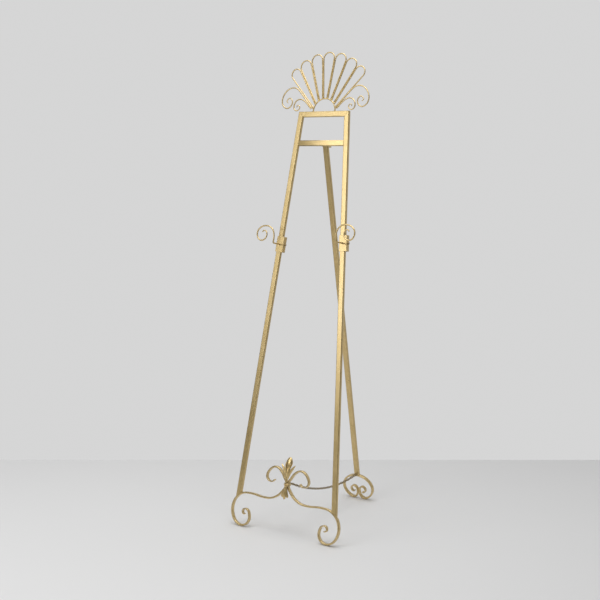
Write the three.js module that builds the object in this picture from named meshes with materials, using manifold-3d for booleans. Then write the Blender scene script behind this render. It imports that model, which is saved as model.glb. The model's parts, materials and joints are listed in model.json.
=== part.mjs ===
// Scrollwork display easel: an A-shaped front frame of flat tube with a fan crest and scrolled feet,
// a hinged rear leg held by a chain, and two picture hooks on sleeves that slide along the legs.
// Millimetres, +Z up, front towards -Y. The origin is on the floor at the middle of the footprint.
import * as THREE from 'three';
import { mergeVertices } from 'three/addons/utils/BufferGeometryUtils.js';
import Module from 'manifold-3d';

const wasm = await Module();
wasm.setup();

// Stance
const frameLean = THREE.MathUtils.degToRad(10.1);
const legLean = THREE.MathUtils.degToRad(10.4);

// Front frame, measured in the leaning plane: x across, y up the slope, z towards the viewer
const barWidth = 20;
const barDepth = 12;
const barRound = 2.5;
const railTop = 1495;
const legTopX = 95;
const legFootX = 203;
const archHeight = 113;
const crossBarDrop = 103;
const crossBarTop = railTop - crossBarDrop;
const weldGap = 0.3;

// Scrolled flat bar
const scrollThick = 6.5;
const scrollTip = 3.6;
const scrollTaper = 95;
const collarHeight = 11;
const collarWall = 3;
const collarMiddle = 178;
const collarSlack = 0.8;

// Crest wire
const wireRadius = 2.25;
const crestSet = 3;
const scrollSet = -1;
const archRadius = 45.25;
const petalReach = 211;
const petalCount = 7;
const petalBaseStep = THREE.MathUtils.degToRad(21.5);
const petalTipStep = THREE.MathUtils.degToRad(15.1);
const petalTouch = 183.6;

// Rear leg and its hinge
const pivotUp = crossBarTop - 8;
const hingeStandOff = 16;
const pivotBack = 1.5 * barDepth + hingeStandOff;
const pinRadius = 3;
const pinClearance = 0.3;
const legAbovePin = 10;
const rearScrollHeight = 99.5;
const earThick = 2.6;
const earClearance = 0.6;
const bracketHeight = 18;

// Picture hooks
const hookHeightLeft = 1018;
const hookHeightRight = 1033;
const sleeveLength = 56;
const sleeveWall = 2;
const sleeveSlack = 8;
const sleeveClearance = 0.4;
const hookWireRadius = 2.6;
const hookReach = 53;
const screwRadius = 2.5;
const screwHeadRadius = 4.5;
const screwClearance = 0.4;
const screwHeadHeight = 4;

// Chain and its eyes
const eyeRing = 4.2;
const eyeWire = 1.3;
const eyeLift = 4;
const chainRadius = 3.5;

const goldPaint = { color: 0xc8ad74, roughness: 0.38, metalness: 0.55 };
const brassPlate = { color: 0xb9a77c, roughness: 0.35, metalness: 0.8 };

function namedMesh(name, geometry, paint = goldPaint) {
  const mesh = new THREE.Mesh(geometry, new THREE.MeshStandardMaterial(paint));
  mesh.name = name;
  return mesh;
}

// Closed geometry to manifold solid and back
function toSolid(geometry) {
  const bare = geometry.clone();
  bare.deleteAttribute('normal');
  bare.deleteAttribute('uv');
  const merged = mergeVertices(bare, 1e-4);
  return new wasm.Manifold(new wasm.Mesh({
    numProp: 3,
    vertProperties: new Float32Array(merged.attributes.position.array),
    triVerts: new Uint32Array(merged.index.array),
  }));
}

function toGeometry(solid) {
  const mesh = solid.getMesh();
  const geometry = new THREE.BufferGeometry();
  geometry.setAttribute('position', new THREE.BufferAttribute(new Float32Array(mesh.vertProperties), 3));
  geometry.setIndex(new THREE.BufferAttribute(new Uint32Array(mesh.triVerts), 1));
  geometry.computeVertexNormals();
  return geometry;
}

function cut(geometry, ...tools) {
  return toGeometry(tools.reduce((solid, tool) => solid.subtract(toSolid(tool)), toSolid(geometry)));
}

function joined(...geometries) {
  const [first, ...rest] = geometries.map(toSolid);
  return toGeometry(rest.reduce((solid, next) => solid.add(next), first));
}

// A bar drawn by its corners in the plane, with its long edges rounded, its front face at z = 0
function framedBar(corners) {
  const shape = new THREE.Shape(corners.map(([x, y]) => new THREE.Vector2(x, y)));
  const geometry = new THREE.ExtrudeGeometry(shape, {
    depth: barDepth - 2 * barRound,
    bevelThickness: barRound,
    bevelSize: barRound,
    bevelOffset: -barRound,
    bevelSegments: 3,
  });
  return geometry.translate(0, 0, barRound - barDepth);
}

// The outline of a bent flat bar that follows a planar curve, thinner towards its scrolled ends
function bentOutline(curve, samples, thick, taperStart, taperEnd) {
  const length = curve.getLength();
  const leftSide = [];
  const rightSide = [];
  for (let i = 0; i <= samples; i += 1) {
    const along = i / samples;
    const point = curve.getPointAt(along);
    const tangent = curve.getTangentAt(along);
    const fromStart = taperStart ? Math.min(1, along * length / taperStart) : 1;
    const fromEnd = taperEnd ? Math.min(1, (1 - along) * length / taperEnd) : 1;
    const half = THREE.MathUtils.lerp(scrollTip, thick, Math.min(fromStart, fromEnd)) / 2;
    leftSide.push(new THREE.Vector2(point.x - tangent.y * half, point.y + tangent.x * half));
    rightSide.push(new THREE.Vector2(point.x + tangent.y * half, point.y - tangent.x * half));
  }
  return new THREE.Shape([...leftSide, ...rightSide.reverse()]);
}

function smoothCurve(points, side = 1, z = 0) {
  const knots = points.map(([x, y]) => new THREE.Vector3(side * x, y, z));
  return new THREE.CatmullRomCurve3(knots, false, 'centripetal');
}

function roundSection(radius, sides) {
  const section = new THREE.Shape();
  for (let i = 0; i < sides; i += 1) {
    const angle = (i / sides) * 2 * Math.PI;
    const x = radius * Math.cos(angle);
    const y = radius * Math.sin(angle);
    if (i === 0) section.moveTo(x, y);
    else section.lineTo(x, y);
  }
  section.closePath();
  return section;
}

function bentWire(curve, radius, steps, sides = 6) {
  return new THREE.ExtrudeGeometry(roundSection(radius, sides), { steps, extrudePath: curve });
}

// The legs run straight from the foot arch to the rail
const legSlope = (legFootX - legTopX) / (railTop - archHeight);
const legTilt = Math.atan(legSlope);
const legHalf = barWidth / 2 / Math.cos(legTilt);
const legX = (height) => legTopX + (railTop - height) * legSlope;

// One flat bar makes each foot scroll, the low arch to the middle and the curl above the collar.
// It is drawn for the right side, from the eye of the foot scroll to the end of the curl.
const sideBySide = scrollThick / 2 + weldGap;
const footEye = [[-35, 44.5], [-28, 44.5], [-23.4, 51.5], [-26.5, 60], [-35.5, 63.7], [-46.5, 58.5], [-53, 44]];
const footRound = [
  [-53.8, 27], [-44, 11], [-24, scrollThick / 2], [-1, 8.7], [15.5, 26.5], [23.3, 50], [22, 72], [14.3, 91.5],
  [0.2, 107], [-14, 116], [-31, 120.5],
];
const footSpan = [[0.68, 121.5], [0.488, 117.5], [0.315, 119.8]];
const footMiddle = [
  [35, 133.5], [15.5, 153.5], [sideBySide + 1, collarMiddle - 8.5], [sideBySide, collarMiddle],
  [sideBySide + 0.9, collarMiddle + 9],
];
const collarCurl = [
  [12, 19], [24.5, 37.5], [41, 51], [57, 54], [75, 44], [87, 26], [87.5, 12], [77.5, 1.5], [63.5, 0.5], [53, 9.5],
];
const footPoints = [
  ...[...footEye, ...footRound].map(([x, y]) => [legFootX + x, y]),
  ...footSpan.map(([share, y]) => [legFootX * share, y]),
  ...footMiddle,
  ...collarCurl.map(([x, y]) => [x, collarMiddle + y]),
];

function footBar(side) {
  const curve = smoothCurve(footPoints, side);
  const outline = bentOutline(curve, 92, scrollThick, scrollTaper, scrollTaper);
  const bar = new THREE.ExtrudeGeometry(outline, { depth: barDepth, bevelEnabled: false });
  return bar.translate(0, 0, -barDepth);
}

// The same bar a little fatter, to cut the leg's lower end to its curve
function footBarRoom(side) {
  const curve = smoothCurve(footPoints, side);
  const outline = bentOutline(curve, 92, scrollThick + 2 * weldGap, scrollTaper, scrollTaper);
  const room = new THREE.ExtrudeGeometry(outline, { depth: barDepth + 8, bevelEnabled: false });
  return room.translate(0, 0, -barDepth - 4);
}

// Where the foot bar's centre line, on its way over the arch, passes under a line of the leg
function archUnder(offset) {
  const curve = smoothCurve(footPoints);
  const onArch = curve.getSpacedPoints(600).filter((p) => p.y > archHeight - 30 && p.x > 150);
  const miss = (p) => Math.abs(p.x - legX(p.y) - offset);
  return onArch.reduce((best, p) => (miss(p) < miss(best) ? p : best));
}

function sideLeg(side) {
  const railBottom = railTop - barWidth;
  const inFoot = archUnder(-legHalf);
  const outFoot = archUnder(legHalf);
  const corners = [
    [inFoot.x, inFoot.y], [outFoot.x, outFoot.y],
    [legX(railTop) + legHalf, railTop], [legX(railBottom) - legHalf, railBottom],
  ];
  const bar = framedBar(corners.map(([x, y]) => [side * x, y]));
  return cut(bar, footBarRoom(side));
}

function topRail() {
  const railBottom = railTop - barWidth;
  const mitreGap = weldGap * 1.4;
  const topHalf = legX(railTop) + legHalf - mitreGap;
  const bottomHalf = legX(railBottom) - legHalf - mitreGap;
  return framedBar([[-bottomHalf, railBottom], [bottomHalf, railBottom], [topHalf, railTop], [-topHalf, railTop]]);
}

function crossBar() {
  const low = crossBarTop - barWidth;
  const lowHalf = legX(low) - legHalf - weldGap;
  const topHalf = legX(crossBarTop) - legHalf - weldGap;
  return framedBar([[-lowHalf, low], [lowHalf, low], [topHalf, crossBarTop], [-topHalf, crossBarTop]]);
}

// Crest: a half-round arch on the rail with a fan of long petals standing on it
class CrestPath extends THREE.Curve {
  constructor(path) {
    super();
    this.path = path;
  }

  getPoint(t, target = new THREE.Vector3()) {
    const flat = this.path.getPoint(t);
    return target.set(flat.x, flat.y, -crestSet);
  }
}

function crestArch() {
  const foot = railTop + weldGap;
  const path = new THREE.Path();
  path.absarc(0, foot, archRadius, Math.PI, 0, true);
  return bentWire(new CrestPath(path), wireRadius, 20);
}

// The line between two neighbouring petals, from the arch up to where their round ends touch
const petalBase = archRadius + wireRadius * 1.9 + weldGap;
const petalSpread = (petalCount / 2) * petalTipStep - THREE.MathUtils.degToRad(1.3);

function petalEdge(boundary) {
  const baseAngle = boundary * petalBaseStep;
  const outermost = Math.abs(boundary) === petalCount / 2;
  const tipAngle = outermost ? Math.sign(boundary) * petalSpread : boundary * petalTipStep;
  const crestCentre = new THREE.Vector2(0, railTop);
  const fan = (radius, angle) => new THREE.Vector2(radius * Math.sin(angle), radius * Math.cos(angle));
  return { base: fan(petalBase, baseAngle).add(crestCentre), tip: fan(petalTouch, tipAngle).add(crestCentre) };
}

// A wire line beside an edge line, moved sideways by a distance (positive to the right, looking up)
function besideEdge(edge, distance) {
  const along = edge.tip.clone().sub(edge.base).normalize();
  const right = new THREE.Vector2(along.y, -along.x);
  return { base: edge.base.clone().addScaledVector(right, distance), along, right };
}

// Each petal is one wire: up one side, round an end that is tangent to both sides, and down the other
function petal(index) {
  const offset = wireRadius + weldGap / 2;
  const left = besideEdge(petalEdge(index - 0.5), offset);
  const right = besideEdge(petalEdge(index + 0.5), -offset);
  const cross = left.along.x * right.along.y - left.along.y * right.along.x;
  const apart = right.base.clone().sub(left.base);
  const toMeet = (apart.x * right.along.y - apart.y * right.along.x) / cross;
  const meet = left.base.clone().addScaledVector(left.along, toMeet);
  const axis = left.along.clone().add(right.along).normalize();
  const halfAngle = Math.asin(Math.abs(cross)) / 2;
  const fromCentre = meet.clone().sub(new THREE.Vector2(0, railTop));
  const reach = petalReach - wireRadius;
  const growth = Math.sin(halfAngle);
  const b = fromCentre.dot(axis) + reach * growth;
  const shrink = 1 - growth * growth;
  const distance = (Math.sqrt(b * b - shrink * (fromCentre.lengthSq() - reach * reach)) - b) / shrink;
  const centre = meet.clone().addScaledVector(axis, distance);
  const radius = distance * growth;
  const startAngle = Math.atan2(-left.right.y, -left.right.x);
  const endAngle = Math.atan2(right.right.y, right.right.x);
  const path = new THREE.Path();
  path.moveTo(left.base.x, left.base.y);
  path.lineTo(centre.x - left.right.x * radius, centre.y - left.right.y * radius);
  path.absarc(centre.x, centre.y, radius, startAngle, endAngle, true);
  path.lineTo(right.base.x, right.base.y);
  return bentWire(new CrestPath(path), wireRadius, 38);
}

// The two scrolls on each side share the outermost petal's foot, each wire beside the last
const laneStep = 2 * wireRadius + weldGap;

function crestScroll(side, lane, straight, points, steps) {
  const edge = besideEdge(petalEdge(petalCount / 2), laneStep * (lane - 0.5));
  const start = edge.base.clone();
  const leave = start.clone().addScaledVector(edge.along, straight);
  const middle = start.clone().lerp(leave, 0.5);
  const curl = points.map(([x, y]) => [laneStep * lane + x, railTop + y]);
  const knots = [start, middle, leave].map((p) => [p.x, p.y]).concat(curl);
  return bentWire(smoothCurve(knots, side, -scrollSet), wireRadius, steps);
}

// Each is drawn from the middle of the rail's top edge, and stands as many wires out as its lane
const bigScroll = [
  [116.2, 82.5], [136.2, 86], [156.2, 78.5], [170.7, 61.5], [176.5, 41], [170.2, 22],
  [152.2, 12.2], [136.7, 20], [131.5, 36.5], [143.7, 49.4], [155.9, 38], [149.2, 31.5],
];
const smallScroll = [
  [68.4, 32.6], [81.4, 41], [95.4, 44], [109.4, 38.3], [118, 23.5], [116.4, 10],
  [108.4, 3.3], [98.9, 4.8], [92.7, 13], [96.4, 21.5], [103.9, 21.3], [105.9, 14.5],
];

// Collar that grips the two bars where they meet, with a cast finial above it and a drop below
function collarBand() {
  const innerX = 2 * (sideBySide + scrollThick / 2 + collarSlack);
  const innerY = barDepth + 2 * weldGap;
  const ring = (x, y, corner) => {
    const shape = new THREE.Shape();
    shape.moveTo(-x / 2 + corner, -y / 2);
    shape.lineTo(x / 2 - corner, -y / 2);
    shape.absarc(x / 2 - corner, -y / 2 + corner, corner, -Math.PI / 2, 0);
    shape.absarc(x / 2 - corner, y / 2 - corner, corner, 0, Math.PI / 2);
    shape.absarc(-x / 2 + corner, y / 2 - corner, corner, Math.PI / 2, Math.PI);
    shape.absarc(-x / 2 + corner, -y / 2 + corner, corner, Math.PI, 1.5 * Math.PI);
    return shape;
  };
  const band = ring(innerX + 2 * collarWall, innerY + 2 * collarWall, collarWall + 0.5);
  const opening = ring(innerX, innerY, 0.5);
  const bevel = 1.2;
  const solidBand = new THREE.ExtrudeGeometry(band, {
    depth: collarHeight - 2 * bevel,
    bevelThickness: bevel,
    bevelSize: bevel,
    bevelOffset: -bevel,
    bevelSegments: 2,
    curveSegments: 3,
  });
  const hole = new THREE.ExtrudeGeometry(opening, { depth: collarHeight + 8, bevelEnabled: false, curveSegments: 3 });
  solidBand.translate(0, 0, bevel - collarHeight / 2);
  hole.translate(0, 0, -collarHeight / 2 - 4);
  const geometry = cut(solidBand, hole);
  geometry.rotateX(-Math.PI / 2);
  return geometry.translate(0, collarMiddle, -barDepth / 2);
}

// A leaf of the casting: a pointed outline about a line from root to tip, with softened edges
function castLeaf(root, tip, halfWidth, depth, z, tilt = 0) {
  const length = Math.hypot(tip[0] - root[0], tip[1] - root[1]);
  const shape = new THREE.Shape();
  shape.moveTo(-halfWidth * 0.4, 0);
  shape.quadraticCurveTo(-halfWidth * 1.5, length * 0.55, 0, length);
  shape.quadraticCurveTo(halfWidth * 1.5, length * 0.55, halfWidth * 0.4, 0);
  shape.closePath();
  const soft = Math.min(depth / 2, halfWidth) * 0.55;
  const leaf = new THREE.ExtrudeGeometry(shape, {
    depth: depth - 2 * soft,
    bevelThickness: soft,
    bevelSize: soft,
    bevelOffset: -soft,
    bevelSegments: 2,
    curveSegments: 6,
  });
  leaf.translate(0, 0, soft - depth / 2);
  leaf.rotateX(tilt);
  leaf.rotateZ(-Math.atan2(tip[0] - root[0], tip[1] - root[1]));
  return leaf.translate(root[0], root[1], z);
}

const finialRoot = collarMiddle + collarHeight / 2 + 3 * weldGap;
const castingFront = 3.6;
const finialLean = 0.16;

function finial() {
  const bud = new THREE.SphereGeometry(1, 12, 8).scale(12.5, 25, 6.5);
  bud.rotateX(-finialLean);
  bud.translate(0, finialRoot + 64, -5);
  const stemProfile = [[0, 0], [3.4, 0], [4.4, 12], [4.6, 30], [7.2, 48], [0, 62]];
  const stem = new THREE.LatheGeometry(stemProfile.map(([r, y]) => new THREE.Vector2(r, y)), 10);
  stem.rotateX(-finialLean);
  stem.translate(0, finialRoot, castingFront + 0.8);
  const leaves = [-1, 1].flatMap((side) => [
    castLeaf([side * 1, finialRoot + 22], [side * 19, finialRoot + 63], 4.2, 4.4, -1.5, -0.12),
    castLeaf([side * 1, finialRoot + 14], [side * 30, finialRoot + 53], 3.8, 4.2, 0, -0.1),
  ]);
  return joined(stem, bud, ...leaves);
}

function drop() {
  const top = collarMiddle - collarHeight / 2 - weldGap;
  const strand = (x, lean, length) => castLeaf([x, top], [x + lean, top - length], 4.2, 6.4, castingFront + 1);
  return joined(strand(0, 0, 46), strand(-2.6, -6, 42), strand(2.6, 6, 42));
}

// Eyes that hold the chain: a ring standing off the surface behind it
function chainEye(name, y, z) {
  const ring = new THREE.TorusGeometry(eyeRing, eyeWire, 6, 16);
  const mesh = namedMesh(name, ring.rotateY(Math.PI / 2), brassPlate);
  mesh.position.set(0, y, z);
  return mesh;
}

// Hinge: a U bracket on the back of the cross bar, and a pin through its ears and the rear leg
const earInside = barWidth / 2 + earClearance;
const earOutside = earInside + earThick;

function pinHole(radius, length) {
  return new THREE.CylinderGeometry(radius, radius, length, 20).rotateZ(Math.PI / 2);
}

function hingeBracket() {
  const plateFront = barDepth + weldGap - pivotBack;
  const plateBack = plateFront + earThick;
  const earEnd = legAbovePin - 1;
  const outline = new THREE.Shape([
    [-earOutside, plateFront], [earOutside, plateFront], [earOutside, earEnd], [earInside, earEnd],
    [earInside, plateBack], [-earInside, plateBack], [-earInside, earEnd], [-earOutside, earEnd],
  ].map(([x, y]) => new THREE.Vector2(x, y)));
  const channel = new THREE.ExtrudeGeometry(outline, { depth: bracketHeight, bevelEnabled: false });
  channel.translate(0, 0, -bracketHeight / 2).rotateX(-Math.PI / 2);
  return cut(channel, pinHole(pinRadius + pinClearance, 4 * earOutside));
}

function hingePin() {
  const headRadius = pinRadius + 2.2;
  const headHeight = 2.4;
  const inner = earOutside + weldGap;
  const profile = [
    [0, -inner - headHeight], [headRadius - 1, -inner - headHeight], [headRadius, -inner - headHeight + 1],
    [headRadius, -inner], [pinRadius, -inner], [pinRadius, inner], [headRadius, inner],
    [headRadius, inner + headHeight - 1], [headRadius - 1, inner + headHeight], [0, inner + headHeight],
  ].map(([r, y]) => new THREE.Vector2(r, y));
  return new THREE.LatheGeometry(profile, 20).rotateZ(Math.PI / 2);
}

// Rear leg: drawn in its own frame, with the pin at the origin and the leg hanging down -Y
const floorDrop = barDepth * Math.sin(frameLean);
const pivotHeight = pivotUp * Math.cos(frameLean) - pivotBack * Math.sin(frameLean) + floorDrop;
const rearReach = (pivotHeight - (barDepth / 2) * Math.sin(legLean)) / Math.cos(legLean);

function rearLeg() {
  const low = rearScrollHeight + weldGap - rearReach;
  const half = barWidth / 2;
  const bar = framedBar([[-half, low], [half, low], [half, legAbovePin], [-half, legAbovePin]]);
  bar.translate(0, 0, barDepth / 2);
  return cut(bar, pinHole(pinRadius + pinClearance, 4 * earOutside));
}

// Each rear scroll starts under the leg, sweeps round to the floor and curls up inside, back to back
const rearUnder = rearScrollHeight - scrollThick / 2;
const rearScrollPoints = [
  [0.6, rearUnder], [10, rearUnder - 0.5], [23, rearUnder - 3.3], [40, 85], [55, 71], [63.3, 51], [61.3, 33],
  [50.5, 16.5], [37, 6.5], [24.5, scrollThick / 2], [12.5, 7.5], [5.5, 18], [sideBySide + 0.2, 30], [5.8, 42], [13, 49], [22, 50], [29.7, 43.5],
  [31, 34], [24.5, 26.8], [16, 28.2],
];

function rearScroll(side) {
  const points = rearScrollPoints.map(([x, y]) => [x, y - rearReach]);
  const outline = bentOutline(smoothCurve(points, side), 60, scrollThick, 0, scrollTaper);
  const bar = new THREE.ExtrudeGeometry(outline, { depth: barDepth, bevelEnabled: false });
  return bar.translate(0, 0, -barDepth / 2);
}

// Picture hooks. A sleeve is drawn about the leg's centre line, with Y along the leg
const sleeveInsideX = barWidth + sleeveSlack;
const sleeveInsideZ = barDepth + 2 * sleeveClearance;
const sleeveShift = sleeveSlack / 2 - sleeveClearance;
const sleeveFace = sleeveInsideZ / 2 + sleeveWall;

function sleeve() {
  const outerX = sleeveInsideX / 2 + sleeveWall;
  const corner = 1.5;
  const lower = [[outerX - corner, -sleeveFace], [outerX, corner - sleeveFace]];
  const right = [...lower, ...lower.map(([x, y]) => [x, -y]).reverse()];
  const around = [...right, ...right.map(([x, y]) => [-x, y]).reverse()];
  const outline = new THREE.Shape(around.map(([x, y]) => new THREE.Vector2(x, y)));
  const inside = [[-1, -1], [-1, 1], [1, 1], [1, -1]];
  const half = [sleeveInsideX / 2, sleeveInsideZ / 2];
  outline.holes.push(new THREE.Path(inside.map(([x, y]) => new THREE.Vector2(x * half[0], y * half[1]))));
  const tube = new THREE.ExtrudeGeometry(outline, { depth: sleeveLength, bevelEnabled: false });
  tube.translate(sleeveShift, 0, -sleeveLength / 2).rotateX(-Math.PI / 2);
  const holeRadius = screwRadius + screwClearance;
  const wallMiddle = sleeveShift + sleeveInsideX / 2 + sleeveWall / 2;
  const screwHole = new THREE.CylinderGeometry(holeRadius, holeRadius, 4 * sleeveWall, 16);
  screwHole.rotateZ(Math.PI / 2).translate(wallMiddle, 0, 0);
  return cut(tube, screwHole);
}

function clampScrew() {
  const tip = barWidth / 2 + weldGap;
  const shoulder = sleeveShift + sleeveInsideX / 2 + sleeveWall + weldGap;
  const profile = [
    [0, tip], [screwRadius - 0.6, tip], [screwRadius, tip + 0.6], [screwRadius, shoulder],
    [screwHeadRadius, shoulder], [screwHeadRadius, shoulder + screwHeadHeight - 1.2],
    [screwHeadRadius - 1.4, shoulder + screwHeadHeight], [0, shoulder + screwHeadHeight],
  ].map(([r, y]) => new THREE.Vector2(r, y));
  return new THREE.LatheGeometry(profile, 16).rotateZ(-Math.PI / 2);
}

// The hook wire comes forward out of the sleeve's face, turns up and curls away from the middle
const hookCurl = [
  [-1.5, 15], [0.5, 31], [9, 47], [24, 56], [41, 57], [59, 51], [71.5, 37], [73, 22], [65.5, 8.5], [53, 3],
  [40, 7], [32, 18], [31.5, 30], [38.5, 38.8], [47, 39], [51.8, 32.5],
];

function hookWire(side) {
  const stem = [sleeveFace + weldGap, sleeveFace + 15, hookReach - 12, hookReach - 3.5];
  const knots = stem.map((z, i) => new THREE.Vector3(sleeveShift, i === 3 ? 1.2 : 0, z));
  hookCurl.forEach(([x, y], i) => {
    knots.push(new THREE.Vector3(sleeveShift + side * x, y, hookReach - (i === 0 ? 0.4 : 0)));
  });
  const curve = new THREE.CatmullRomCurve3(knots, false, 'centripetal');
  return bentWire(curve, hookWireRadius, 62);
}

// The pieces of one hook, in a group that stands on the leg's centre line
function hookGroup(label, side, height) {
  const group = new THREE.Group();
  group.position.set(side * legX(height), height, -barDepth / 2);
  group.rotation.z = side * legTilt;
  group.add(namedMesh(`${label}_sleeve`, sleeve()));
  group.add(namedMesh(`${label}_hook_wire`, hookWire(side)));
  group.add(namedMesh(`${label}_clamp_screw`, clampScrew(), brassPlate));
  return group;
}

// Front frame group: x across, y up the slope, z forward
const frontFrame = new THREE.Group();
frontFrame.rotation.x = Math.PI / 2 - frameLean;
frontFrame.position.z = floorDrop;
frontFrame.add(namedMesh('top_rail', topRail()));
frontFrame.add(namedMesh('cross_bar', crossBar()));
frontFrame.add(namedMesh('crest_arch', crestArch()));
for (let i = 0; i < petalCount; i += 1) {
  frontFrame.add(namedMesh(`crest_petal_${i + 1}`, petal(i - (petalCount - 1) / 2)));
}
for (const [label, side] of [['left', -1], ['right', 1]]) {
  frontFrame.add(namedMesh(`${label}_leg`, sideLeg(side)));
  frontFrame.add(namedMesh(`${label}_foot_bar`, footBar(side)));
  frontFrame.add(namedMesh(`${label}_big_crest_scroll`, crestScroll(side, 1, 62, bigScroll, 46)));
  frontFrame.add(namedMesh(`${label}_small_crest_scroll`, crestScroll(side, 2, 6, smallScroll, 40)));
}
frontFrame.add(namedMesh('collar_band', collarBand()));
frontFrame.add(namedMesh('cast_finial', finial()));
frontFrame.add(namedMesh('cast_drop', drop()));
const eyeStand = eyeRing + eyeWire + weldGap;
const collarBack = barDepth + collarWall + weldGap;
frontFrame.add(chainEye('front_chain_eye', collarMiddle, -collarBack - eyeStand));
frontFrame.add(hookGroup('left', -1, hookHeightLeft));
frontFrame.add(hookGroup('right', 1, hookHeightRight));

const hinge = new THREE.Group();
hinge.position.set(0, pivotUp, -pivotBack);
hinge.add(namedMesh('hinge_bracket', hingeBracket()));
hinge.add(namedMesh('hinge_pin', hingePin(), brassPlate));
frontFrame.add(hinge);

// Rear leg group: turned about the pin by both leans
const rearStand = new THREE.Group();
rearStand.rotation.x = frameLean + legLean;
rearStand.add(namedMesh('rear_leg', rearLeg()));
rearStand.add(namedMesh('left_rear_scroll', rearScroll(-1)));
rearStand.add(namedMesh('right_rear_scroll', rearScroll(1)));
rearStand.add(chainEye('rear_chain_eye', rearScrollHeight + eyeLift - rearReach, barDepth / 2 + eyeStand));
hinge.add(rearStand);

// The footprint is centred on the origin
const easel = new THREE.Group();
easel.add(frontFrame);
const footprint = new THREE.Box3().setFromObject(easel, true);
frontFrame.position.y = -(footprint.min.y + footprint.max.y) / 2;

// The chain hangs slack between its two eyes, in the middle plane
const chainPoints = [
  [-206.5, 174.5], [-180, 162.1], [-150, 149.2], [-120, 137.6], [-90, 127.4], [-60, 118.5], [-30, 110.9], [0, 104.6],
  [30, 99.6], [60, 96], [90, 93.6], [120, 92.6], [150, 92.9], [180, 94.5], [205, 96.8], [222, 98.9],
];
const chainCurve = new THREE.CatmullRomCurve3(chainPoints.map(([y, z]) => new THREE.Vector3(0, y, z)));
easel.add(namedMesh('chain', bentWire(chainCurve, chainRadius, 30, 8), brassPlate));

export default easel;
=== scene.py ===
# Scrollwork display easel: painted steel tube, bent bar and wire, with a cast ornament and a chain.
# Metres and +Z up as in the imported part. Sizes in the dictionaries are in millimetres.
import bisect
import json
import math

import bmesh
import bpy
from mathutils import Matrix, Vector, noise


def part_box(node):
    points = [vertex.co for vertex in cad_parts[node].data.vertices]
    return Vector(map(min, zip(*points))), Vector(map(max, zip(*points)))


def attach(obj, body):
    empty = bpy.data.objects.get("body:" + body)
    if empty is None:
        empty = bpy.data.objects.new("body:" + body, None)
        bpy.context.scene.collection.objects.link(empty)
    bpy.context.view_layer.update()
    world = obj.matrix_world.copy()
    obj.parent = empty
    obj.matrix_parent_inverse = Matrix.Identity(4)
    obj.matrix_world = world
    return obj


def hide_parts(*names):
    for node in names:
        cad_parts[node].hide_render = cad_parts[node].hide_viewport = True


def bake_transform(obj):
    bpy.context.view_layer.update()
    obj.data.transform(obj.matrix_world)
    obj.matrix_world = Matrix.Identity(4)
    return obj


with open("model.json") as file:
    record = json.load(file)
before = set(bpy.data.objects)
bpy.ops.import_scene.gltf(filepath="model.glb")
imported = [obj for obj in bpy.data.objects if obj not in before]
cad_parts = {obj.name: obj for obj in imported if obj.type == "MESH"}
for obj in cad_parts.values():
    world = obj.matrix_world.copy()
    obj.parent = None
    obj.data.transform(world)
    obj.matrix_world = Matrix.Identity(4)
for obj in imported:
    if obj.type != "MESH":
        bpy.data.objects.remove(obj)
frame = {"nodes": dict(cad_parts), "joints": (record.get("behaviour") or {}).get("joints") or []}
for startUp in ("Cube", "Light", "Camera"):  # what a new file opens with
    if startUp in bpy.data.objects:
        bpy.data.objects.remove(bpy.data.objects[startUp])
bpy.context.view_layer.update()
joints = {joint["name"]: joint for joint in frame["joints"]}
millimetre = 0.001
print("frame loaded:", len(frame["nodes"]), "nodes")


# ---- camera
cameraSetup = {"place": (2.1776, -3.3510, 1.3305), "turn": 34.232, "down": 7.52, "lens": 67.2, "sensor": 36}


def makeCamera(setup):
    lens = bpy.data.cameras.new("camera")
    lens.lens = setup["lens"]
    lens.sensor_width = setup["sensor"]
    camera = bpy.data.objects.new("camera", lens)
    camera.location = setup["place"]
    camera.rotation_euler = (math.radians(90 - setup["down"]), 0, math.radians(setup["turn"]))
    bpy.context.scene.collection.objects.link(camera)
    bpy.context.scene.camera = camera
    return camera


makeCamera(cameraSetup)


# ---- places taken from the part
lean = math.radians(10.1)  # the front frame's lean
legLean = math.radians(10.4)  # the rear leg's lean
pivot = Vector(joints["leg_fold"]["pos_m"])
pivotUp, pivotBack = 1384, 34
standUp = Matrix.Rotation(math.radians(90) - lean, 4, "X")
pivotInPlane = Vector((0, pivotUp, -pivotBack)) * millimetre
frontPlane = Matrix.Translation(pivot - standUp @ pivotInPlane) @ standUp  # x across, y up the slope, z forward
rearPlane = Matrix.Translation(pivot) @ Matrix.Rotation(math.radians(90) + legLean, 4, "X")


def hookPlace(label):
    turn = joints[label + "_screw_turn"]
    across = Vector(turn["axis"]).normalized()
    up = Vector(joints[label + "_hook_slide"]["axis"]).normalized()
    place = Matrix((across, up, across.cross(up))).transposed().to_4x4()
    place.translation = Vector(turn["pos_m"])
    return place


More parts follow.
